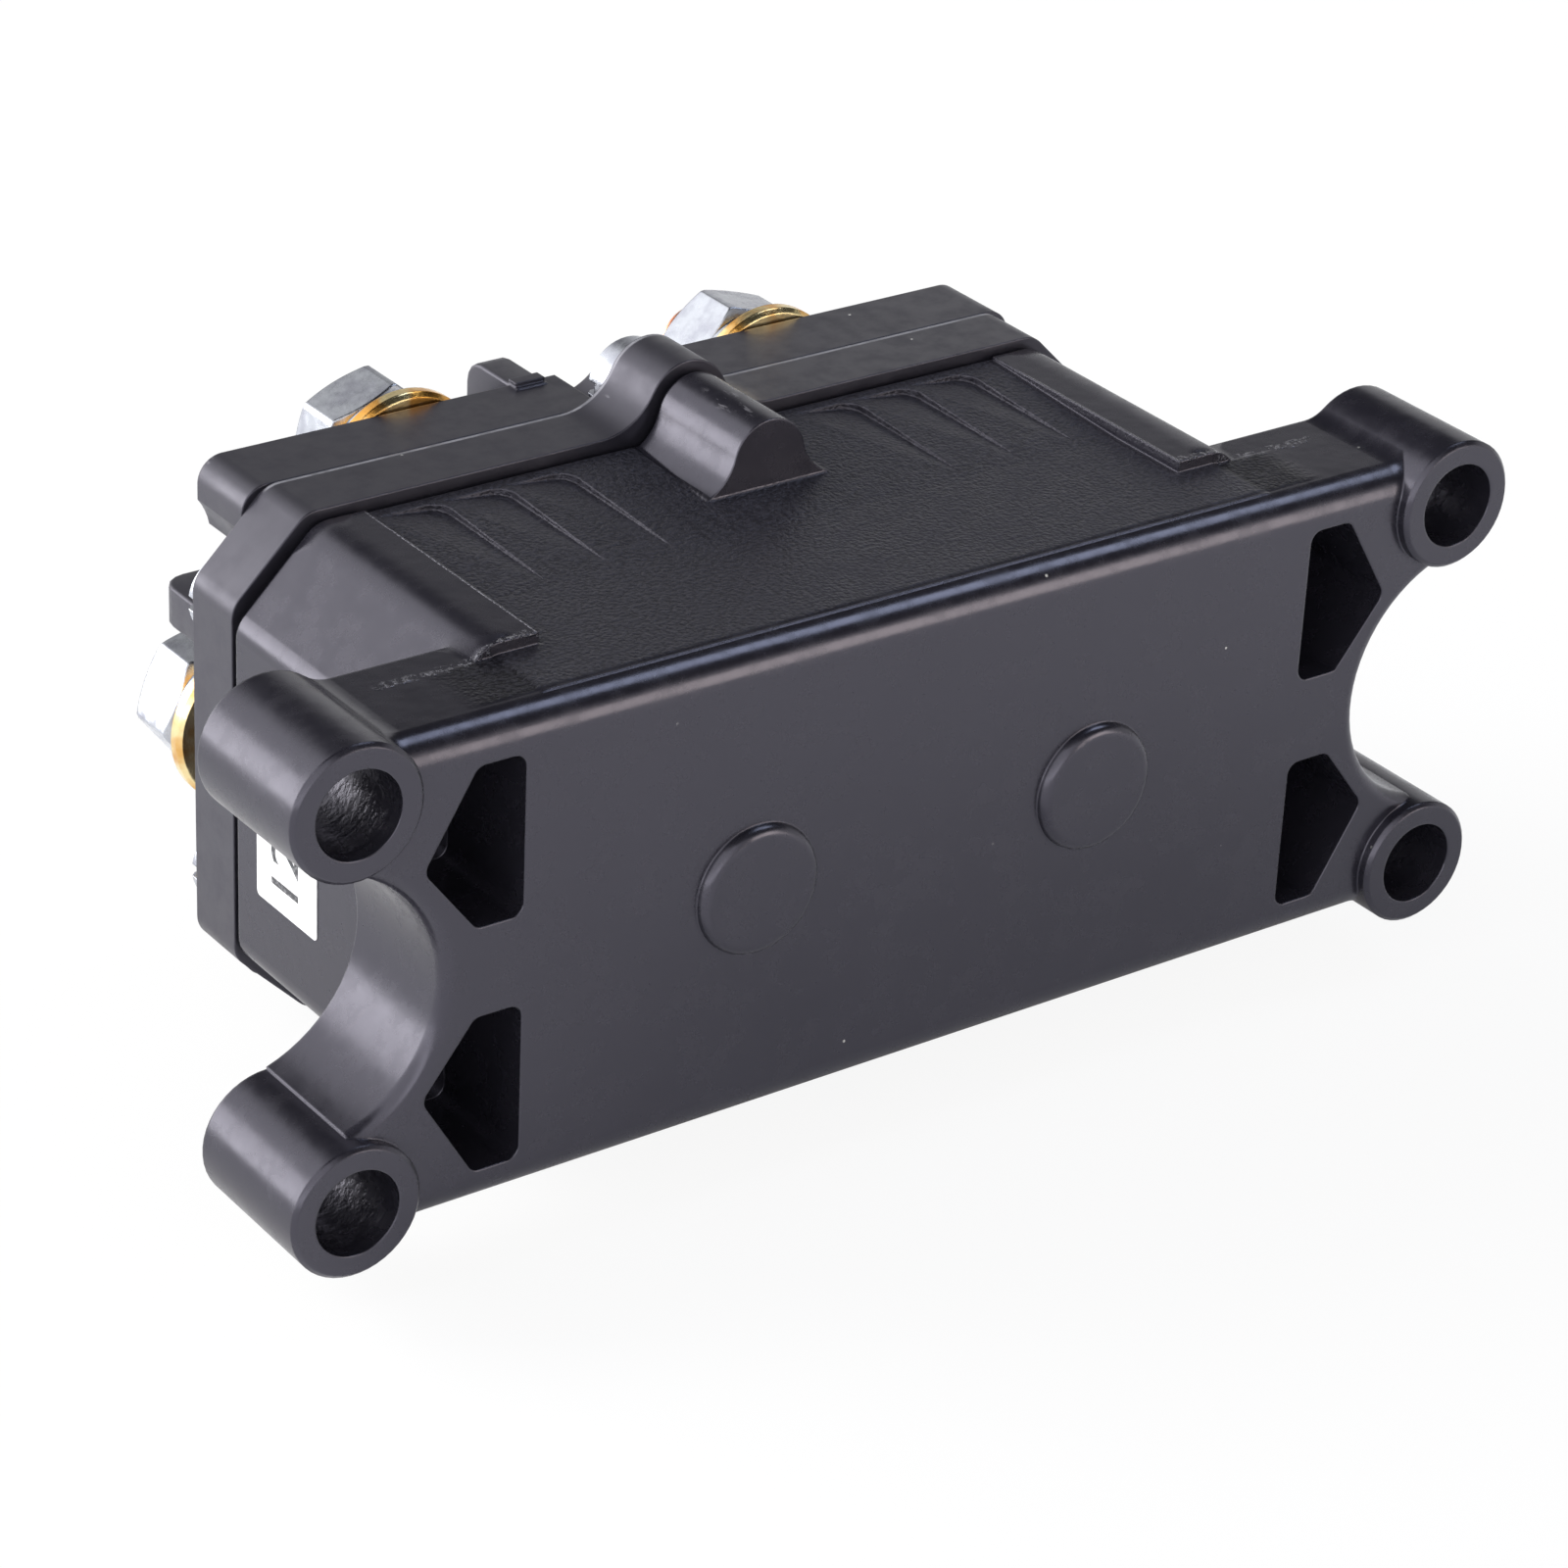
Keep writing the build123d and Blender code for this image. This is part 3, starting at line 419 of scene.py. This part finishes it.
cover = bmesh.new()
cover.from_mesh(nodes["front_cover"].data)
bmesh.ops.remove_doubles(cover, verts=cover.verts, dist=1e-6)
bmesh.ops.bisect_plane(cover, geom=cover.verts[:] + cover.edges[:] + cover.faces[:],
                       plane_co=(0, block_front + 0.01 * mm, 0), plane_no=(0, 1, 0), clear_outer=True)
bmesh.ops.holes_fill(cover, edges=[edge for edge in cover.edges if edge.is_boundary], sides=0)
add_wall(*long_wall, 0, 2)
add_wall(*upright_wall, wall_step, 0)
add_collar()
cover_finish = black_moulding("smooth black nylon", False)
moulded = show("moulded_cover", cover, cover_finish, "housing")
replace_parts(moulded, "front_cover")

# Cover screws: slotted cheese-head screws of zinc-plated steel, turned and plated. Six of them draw the
# cover down on the seal.
zinc_light = (0.54, 0.56, 0.61, 1)
zinc_dark = (0.42, 0.43, 0.49, 1)


def zinc_plate(name, roughness, rounding):
    """Bright zinc with a faint blue cast and fine turning marks."""
    material, tree, shader, place = new_finish(name, roughness, metallic=1.0)
    colour = tint(tree, ramp(tree, noise(tree, place, 1.5 * mm, 3.0), 0.35, 0.7), zinc_light, zinc_dark)
    tree.links.new(colour, shader.inputs["Base Color"])
    rough = ramp(tree, noise(tree, place, 0.9 * mm, 4.0), 0.3, 0.75, roughness - 0.06, roughness + 0.12)
    tree.links.new(rough, shader.inputs["Roughness"])
    relief(tree, shader, noise(tree, place, 0.5 * mm, 2.0), 0.010 * mm, rounding)
    return material


zinc_finish = zinc_plate("bright zinc", 0.24, 0.15 * mm)
nodes["cover_screws"].data.materials[0] = zinc_finish

# Terminal studs: bare copper, with a rolled M6 thread down to the collar that holds the contact strip.
# They stand in the cover's front wall.
thread_pitch = 1.0 * mm
thread_depth = 0.55 * mm
stud_radius = 3.0 * mm
stud_root = stud_radius - thread_depth
stud_low, stud_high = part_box("terminal_studs")
stud_collar_y = stud_low.y
stud_collar_height = 1.5 * mm
stud_collar_radius = 3.7 * mm
stud_collar_hole = stud_root * 0.9
stud_collar_steps = 64
upper_stud = (16.2 * mm, 14.5 * mm)
lower_stud = (29.3 * mm, -2.9 * mm)
stud_places = [(-upper_stud[0], upper_stud[1]), upper_stud, (-lower_stud[0], lower_stud[1]), lower_stud]
tip_chamfer = 0.7 * mm
thread_steps = 40


def add_thread(form, x, z, y0, y1):
    """A shank with a helical thread from y0 to y1, closed at both ends."""
    profile = [(stud_root, 0.0), (stud_root, 0.12), (stud_radius, 0.44), (stud_radius, 0.56),
               (stud_root, 0.88), (stud_root, 1.0)]
    shank = bmesh.new()
    start = y0 - thread_pitch
    line = [shank.verts.new((radius, start + share * thread_pitch, 0)) for radius, share in profile]
    edges = [shank.edges.new(pair) for pair in zip(line, line[1:])]
    turns = math.ceil((y1 - start) / thread_pitch) + 1
    bmesh.ops.spin(shank, geom=line + edges, cent=(0, 0, 0), axis=(0, 1, 0), angle=2 * math.pi * turns,
                   dvec=(0, thread_pitch / thread_steps, 0), steps=thread_steps * turns, use_merge=False)
    bmesh.ops.remove_doubles(shank, verts=shank.verts, dist=1e-6)
    for level, side in ((y0, -1), (y1, 1)):
        bmesh.ops.bisect_plane(shank, geom=shank.verts[:] + shank.edges[:] + shank.faces[:],
                               plane_co=(0, level, 0), plane_no=(0, side, 0), clear_outer=True)
    for vert in shank.verts:
        limit = stud_radius - max(0.0, vert.co.y - (y1 - tip_chamfer))
        radius = math.hypot(vert.co.x, vert.co.z)
        if radius > limit:
            vert.co.x *= limit / radius
            vert.co.z *= limit / radius
    open_edges = [edge for edge in shank.edges if edge.is_boundary]
    bmesh.ops.holes_fill(shank, edges=open_edges, sides=0)
    bmesh.ops.recalc_face_normals(shank, faces=shank.faces)
    bmesh.ops.translate(shank, vec=(x, 0, z), verts=shank.verts)
    add_form(form, shank)


def add_turned(form, x, z, rings, steps, shape=None):
    """A closed ring-shaped form along Y, from circles of (radius, height, share of the shape)."""
    rows = []
    for radius, y, share in rings:
        row = []
        for step in range(steps):
            angle = 2 * math.pi * step / steps
            reach, lift = (radius, y)
            if share and shape:
                reach, lift = shape(angle, radius, y)
            row.append(form.verts.new((x + reach * math.cos(angle), lift, z + reach * math.sin(angle))))
        rows.append(row)
    for first, second in zip(rows, rows[1:] + rows[:1]):
        for step in range(steps):
            after = (step + 1) % steps
            form.faces.new((first[step], first[after], second[after], second[step]))


copper, tree, shader, place = new_finish("bare copper", 0.30, metallic=1.0)
copper_colour = tint(tree, ramp(tree, noise(tree, place, 1.8 * mm, 4.0), 0.35, 0.7),
                     (0.94, 0.52, 0.34, 1), (0.72, 0.30, 0.17, 1))
tree.links.new(copper_colour, shader.inputs["Base Color"])
relief(tree, shader, noise(tree, place, 0.2 * mm), 0.015 * mm, 0.06 * mm)

studs = bmesh.new()
for x, z in stud_places:
    collar_top = stud_collar_y + stud_collar_height
    add_thread(studs, x, z, collar_top, stud_high.y)
    add_turned(studs, x, z, [(stud_collar_hole, stud_collar_y, 0), (stud_collar_radius, stud_collar_y, 0),
                             (stud_collar_radius, collar_top, 0), (stud_collar_hole, collar_top, 0)],
               stud_collar_steps)
threaded = show("threaded_studs", studs, copper, "housing")
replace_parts(threaded, "terminal_studs")

# Flat washers: stamped steel with yellow passivated zinc, in the gold and brown stains of that bath.
# One lies under each spring washer.
gold = (0.95, 0.78, 0.42, 1)
amber = (0.72, 0.36, 0.08, 1)
yellow_zinc, tree, shader, place = new_finish("yellow passivated zinc", 0.20, metallic=1.0)
stain = ramp(tree, noise(tree, place, 3.0 * mm, 3.0), 0.42, 0.62)
tree.links.new(tint(tree, stain, gold, amber), shader.inputs["Base Color"])
relief(tree, shader, noise(tree, place, 0.5 * mm), 0.02 * mm, 0.2 * mm)
nodes["terminal_washers"].data.materials[0] = yellow_zinc

# Spring washers: split rings of hardened steel with bright zinc, coiled and cut. The nuts press them
# flat.
nodes["spring_washers"].data.materials[0] = zinc_finish

# Nuts: cold-formed steel hexagons with bright zinc. Their corners run out in the arcs of a cone on both
# faces, and their bores have a lead for the thread.
nut_low, nut_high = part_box("terminal_nuts")
nut_flat = 5.0 * mm
nut_face = 4.75 * mm
nut_corner = 5.70 * mm
nut_bore = 2.55 * mm
nut_lead = 0.6 * mm
nut_steps = 96
nut_cone = math.tan(math.radians(30))
nut_turns = (20.0, 44.0, 8.0, 31.0)
nut_finish = zinc_plate("bright zinc nut", 0.20, 0.25 * mm)


def nut_side(turn):
    """How far a nut's side stands out at an angle, and where the cone on its face ends there."""
    def side(angle, radius, y):
        within = (angle - math.radians(turn)) % (math.pi / 3) - math.pi / 6
        reach = min(nut_flat / math.cos(within), nut_corner)
        inward = 1 if y == nut_low.y else -1
        return reach, y + inward * (reach - nut_face) * nut_cone
    return side


nuts = bmesh.new()
low = nut_low.y
high = nut_high.y
for (x, z), turn in zip(stud_places, nut_turns):
    add_turned(nuts, x, z, [(nut_bore, low + nut_lead, 0), (nut_bore + nut_lead, low, 0), (nut_face, low, 0),
                            (nut_flat, low, 1), (nut_flat, high, 1), (nut_face, high, 0),
                            (nut_bore + nut_lead, high, 0), (nut_bore, high - nut_lead, 0)],
               nut_steps, nut_side(turn))
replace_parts(show("formed_nuts", nuts, nut_finish, "housing", 18), "terminal_nuts")

# Coil blades: push-on terminals stamped from tinned brass sheet, with deburred edges. They stand in
# slots of the cover.
tinned, tree, shader, place = new_finish("tinned brass", 0.28, metallic=1.0)
tin = tint(tree, noise(tree, place, 1.2 * mm, 3.0), (0.84, 0.79, 0.62, 1), (0.70, 0.62, 0.42, 1))
tree.links.new(tin, shader.inputs["Base Color"])
relief(tree, shader, noise(tree, place, 0.2 * mm), 0.01 * mm, 0.12 * mm)
nodes["coil_blades"].data.materials[0] = tinned

# Contact parts inside the cover: strips and bridges of bare copper, stamped and folded. The studs hold
# the strips, and the bridges move between them.
for name in ("battery_strip_front", "battery_strip_rear", "motor_strip_left", "motor_strip_right",
             "contact_bridge_left", "contact_bridge_right"):
    nodes[name].data.materials[0] = copper

# Magnet parts: folded yokes, pole plates with their cores, plungers and rods, all of plated steel with
# a fine ground surface.
steel_finish = zinc_plate("ground steel", 0.30, 0.15 * mm)
for side in ("left", "right"):
    for name in ("yoke", "pole_piece", "plunger", "push_rod"):
        nodes[f"{name}_{side}"].data.materials[0] = steel_finish

# Springs: drawn steel wire with lengthwise die marks. The return springs stand in pockets of the
# cover, and each is pressed together there as its armature comes forward.
wire, tree, shader, place = new_finish("drawn spring wire", 0.30, metallic=1.0)
drawn = tint(tree, noise(tree, place, 0.4 * mm, 3.0), (0.50, 0.50, 0.52, 1), (0.34, 0.34, 0.36, 1))
tree.links.new(drawn, shader.inputs["Base Color"])
relief(tree, shader, noise(tree, place, 0.1 * mm), 0.005 * mm, 0.15 * mm)
for joint in frame["joints"]:
    side = joint["name"].split("_")[1]
    nodes[f"contact_spring_{side}"].data.materials[0] = wire
    coil = bmesh.new()
    coil.from_mesh(nodes[f"return_spring_{side}"].data)
    bmesh.ops.remove_doubles(coil, verts=coil.verts, dist=1e-6)
    pressed = show(f"pressed_spring_{side}", coil, wire, "housing")
    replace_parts(pressed, f"return_spring_{side}")
    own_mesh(pressed)

# Bobbins and bushes: moulded from natural nylon, slightly see-through and yellowed. The bobbins carry
# the windings, and the bushes keep the bridges off the rods.
nylon, tree, shader, place = new_finish("natural nylon", 0.40)
cream = tint(tree, noise(tree, place, 4 * mm, 3.0), (0.78, 0.74, 0.64, 1), (0.68, 0.62, 0.50, 1))
tree.links.new(cream, shader.inputs["Base Color"])
shader.inputs["Subsurface Weight"].default_value = 0.2
shader.inputs["Subsurface Scale"].default_value = 1 * mm
relief(tree, shader, noise(tree, place, 0.6 * mm), 0.02 * mm, 0.15 * mm)
for side in ("left", "right"):
    for name in ("bobbin", "contact_bush"):
        nodes[f"{name}_{side}"].data.materials[0] = nylon

# Windings: enamelled copper wire, laid in even turns round each bobbin. Only the outer layer's ridges are
# drawn, in relief and with painted shade darkening the grooves between the turns.
wire_pitch = 0.62 * mm
enamel, tree, shader, place = new_finish("enamelled winding", 0.28, metallic=0.6)
turns = node(tree, "SeparateXYZ", Vector=place).node.outputs["Y"]
phase = calculate(tree, "MULTIPLY", turns, math.pi / wire_pitch)
ridges_and_groove_shade = calculate(tree, "ABSOLUTE", calculate(tree, "SINE", phase))
# The grooves between the turns are darker: painted shade.
tree.links.new(tint(tree, ridges_and_groove_shade, (0.16, 0.04, 0.015, 1), (0.62, 0.24, 0.09, 1)), shader.inputs["Base Color"])
relief(tree, shader, ridges_and_groove_shade, 0.25 * mm, 0.05 * mm)
for side in ("left", "right"):
    nodes[f"winding_{side}"].data.materials[0] = enamel

# Label: a small white paper sticker on the casing's end wall. Its only print is the coil voltage, as a
# plain number.
label_x = -38.0 * mm
label_y = (20.4 * mm, 28.6 * mm)
label_z = (-6.9 * mm, -0.8 * mm)
label_thickness = 0.08 * mm
figure_height = 3.7 * mm
figure_start = 0.8 * mm
figure_lift = 0.012 * mm
figure_share = 0.7
label_corner = 0.4 * mm
paper, tree, shader, place = new_finish("white paper", 0.55)
white = tint(tree, noise(tree, place, 1.4 * mm, 4.0), (0.72, 0.72, 0.73, 1), (0.66, 0.66, 0.67, 1))
tree.links.new(white, shader.inputs["Base Color"])
relief(tree, shader, noise(tree, place, 0.15 * mm, 3.0), 0.01 * mm, 0.03 * mm)
sticker = bmesh.new()
bmesh.ops.create_cube(sticker, size=1.0)
bmesh.ops.scale(sticker, vec=(label_thickness, label_y[1] - label_y[0], label_z[1] - label_z[0]),
                verts=sticker.verts)
bmesh.ops.translate(sticker, vec=(label_x - label_thickness / 2, sum(label_y) / 2, sum(label_z) / 2),
                    verts=sticker.verts)
corners = [edge for edge in sticker.edges
           if abs(edge.verts[0].co.x - edge.verts[1].co.x) > label_thickness / 2]
bmesh.ops.bevel(sticker, geom=corners, offset=label_corner, offset_type="OFFSET", segments=4, profile=0.5,
                affect="EDGES", material=-1)
show("end_label", sticker, paper, "housing")

ink, tree, shader, place = new_finish("printing ink", 0.5)
faded = tint(tree, ramp(tree, noise(tree, place, 0.35 * mm, 3.0), 0.45, 0.7), (0.035, 0.035, 0.04, 1),
             (0.20, 0.20, 0.21, 1))
tree.links.new(faded, shader.inputs["Base Color"])
letters = bpy.data.curves.new("figures", "FONT")
letters.body = "12"
letters.size = figure_height / figure_share
letters.align_x = "LEFT"
letters.align_y = "CENTER"
letters.extrude = 0.01 * mm
text = bpy.data.objects.new("figures", letters)
bpy.context.collection.objects.link(text)
bpy.context.view_layer.update()
figures = bpy.data.meshes.new_from_object(text)
bpy.data.objects.remove(text)
upright = Matrix(((0, 0, -1, 0), (0, 1, 0, 0), (1, 0, 0, 0), (0, 0, 0, 1)))
figure_place = (label_x - label_thickness - figure_lift, sum(label_y) / 2, label_z[0] + figure_start)
figures.transform(Matrix.Translation(figure_place) @ upright)
print_form = bmesh.new()
print_form.from_mesh(figures)
bmesh.ops.remove_doubles(print_form, verts=print_form.verts, dist=1e-7)
show("label_figures", print_form, ink, "housing")

# Floor: a plain white table, level with the lowest point of the part. The camera sees it almost evenly
# white, with a faint shadow.
floor_z = cad_box[0].z
table_half_size = 1.5
table_glow = 0.90
floor_form = bmesh.new()
bmesh.ops.create_grid(floor_form, x_segments=1, y_segments=1, size=table_half_size)
bmesh.ops.translate(floor_form, vec=(0, 0, floor_z), verts=floor_form.verts)
floor_mesh = bpy.data.meshes.new("table")
floor_form.to_mesh(floor_mesh)
floor_form.free()
floor = bpy.data.objects.new("table", floor_mesh)
bpy.context.collection.objects.link(floor)
table_white = bpy.data.materials.new("table white")
table_white.use_nodes = True
tree = table_white.node_tree
matt = tree.nodes["Principled BSDF"]
matt.inputs["Base Color"].default_value = (0.88, 0.88, 0.88, 1)
matt.inputs["Roughness"].default_value = 0.9
matt.inputs["Specular IOR Level"].default_value = 0.0
path = tree.nodes.new("ShaderNodeLightPath")
glow = node(tree, "Emission", Color=(1, 1, 1, 1), Strength=1.0)
share = calculate(tree, "MULTIPLY", path.outputs["Is Camera Ray"], table_glow)
both = tree.nodes.new("ShaderNodeMixShader")
tree.links.new(share, both.inputs[0])
tree.links.new(matt.outputs[0], both.inputs[1])
tree.links.new(glow, both.inputs[2])
tree.links.new(both.outputs[0], tree.nodes["Material Output"].inputs["Surface"])
floor_mesh.materials.append(table_white)

# Room: a white surround at the height of the table, brightest at the left, with a dark ceiling. The
# camera itself sees it all white.
world = bpy.data.worlds.new("studio")
bpy.context.scene.world = world
world.use_nodes = True
tree = world.node_tree
room = tree.nodes["Background"]
direction = tree.nodes.new("ShaderNodeTexCoord").outputs["Generated"]
height = node(tree, "SeparateXYZ", Vector=direction).node.outputs["Z"]
aside = node(tree, "SeparateXYZ", Vector=direction).node.outputs["X"]
low_part = ramp(tree, height, 0.05, 0.48, 2.2, 1.0)
left_part = product(tree, ramp(tree, aside, -0.35, 0.30, 1.15, 0.0), low_part)
right_part = ramp(tree, aside, 0.42, 0.66, 0.46, 0.72)
ceiling = calculate(tree, "ADD", height, calculate(tree, "MULTIPLY", aside, 0.35))
level = product(tree, ramp(tree, ceiling, 0.66, 0.76, 1.0, 0.03),
                calculate(tree, "ADD", left_part, right_part))
path = tree.nodes.new("ShaderNodeLightPath")
seen = calculate(tree, "MAXIMUM", level, path.outputs["Is Camera Ray"])
tree.links.new(seen, room.inputs["Strength"])
room.inputs["Color"].default_value = (1, 1, 1, 1)

# Lamps: a soft box at the left lights the table, a small blue and a small warm one draw the two lines
# of light along the rounded edge of the back plate, and one at the side gives the ears their sheen.
middle = Vector((0, 0.025, 0))


def soft_box(name, place, target, size, power, colour):
    """A square lamp that faces a target."""
    lamp = bpy.data.lights.new(name, "AREA")
    lamp.size = size
    lamp.energy = power
    lamp.color = colour
    box = bpy.data.objects.new(name, lamp)
    box.location = place
    box.rotation_euler = (Vector(target) - Vector(place)).to_track_quat("-Z", "Y").to_euler()
    bpy.context.collection.objects.link(box)
    return box


left_box = soft_box("left box", (-0.62, 0.52, 0.42), (-0.06, 0.08, -0.02), 0.45, 7.5, (1.0, 0.995, 0.99))
left_box.visible_glossy = False
soft_box("blue box", (0.476, -0.045, 0.765), middle, 0.34, 1.5, (0.72, 0.82, 1.0))
soft_box("warm box", (0.480, -0.760, 0.160), middle, 0.42, 2.0, (1.0, 0.90, 0.80))
side_box = soft_box("side box", (-0.620, 0.680, 0.200), middle, 0.50, 2.4, (1.0, 0.985, 0.97))
side_box.visible_diffuse = False

# Camera: above and to the left of the ears' side, as the photograph was taken, with a long lens and a
# slight roll.
camera_place = (-0.1915, -0.2386, 0.1651)
camera_direction = Vector((0.5290, 0.7091, -0.4663))
camera_roll = math.radians(2.8)
lens = bpy.data.cameras.new("camera")
lens.lens = 114.0
lens.sensor_width = 36.0
lens.clip_start = 0.01
camera = bpy.data.objects.new("camera", lens)
camera.location = camera_place
aim = camera_direction.to_track_quat("-Z", "Y") @ Quaternion((0, 0, 1), camera_roll)
camera.rotation_euler = aim.to_euler()
bpy.context.collection.objects.link(camera)
bpy.context.scene.camera = camera
bpy.context.scene.view_settings.view_transform = "Standard"
